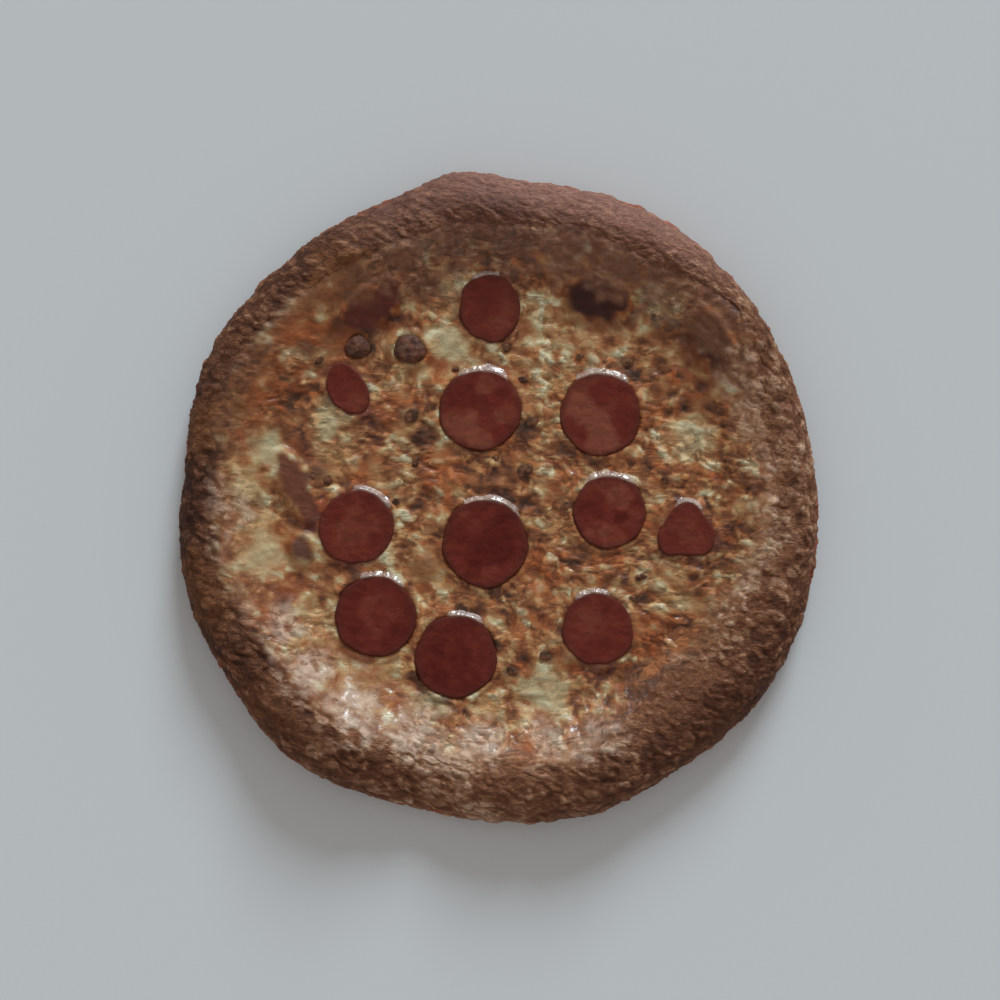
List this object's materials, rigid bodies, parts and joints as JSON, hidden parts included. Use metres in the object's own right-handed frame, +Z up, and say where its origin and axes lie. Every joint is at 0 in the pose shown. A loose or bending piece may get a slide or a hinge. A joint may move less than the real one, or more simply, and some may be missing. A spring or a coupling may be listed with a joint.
{
  "type": "pepperoni pizza",
  "caption": "Whole round pizza with a puffed, browned rim, melted cheese and slices of pepperoni, lying flat.",
  "frame": {"origin": "centre of the bounding box at its base, on the surface that the pizza lies on", "axes": "+Z up, out of the topped side; +Y towards the edge that is at the top of the picture; +X towards its right"},
  "size_m": [0.3012, 0.307, 0.0298],
  "materials": {
    "baked_crust": "dull, rough baked dough",
    "tomato_sauce": "wet",
    "melted_cheese": "oily, half gloss",
    "pepperoni": "oily, half gloss",
    "browned_meat": "rough"
  },
  "bodies": {
    "root": {"crust": "baked_crust", "sauce": "tomato_sauce", "cheese": "melted_cheese", "pepperoni_01": "pepperoni", "pepperoni_02": "pepperoni", "pepperoni_03": "pepperoni", "pepperoni_04": "pepperoni", "pepperoni_05": "pepperoni", "pepperoni_06": "pepperoni", "pepperoni_07": "pepperoni", "pepperoni_08": "pepperoni", "pepperoni_09": "pepperoni", "pepperoni_10": "pepperoni", "pepperoni_11": "pepperoni", "pepperoni_12": "pepperoni", "pepperoni_13": "pepperoni", "pepperoni_14": "pepperoni", "pepperoni_15": "pepperoni", "meat_crumb_01": "browned_meat", "meat_crumb_02": "browned_meat", "meat_crumb_03": "browned_meat"}
  },
  "joints": []
}
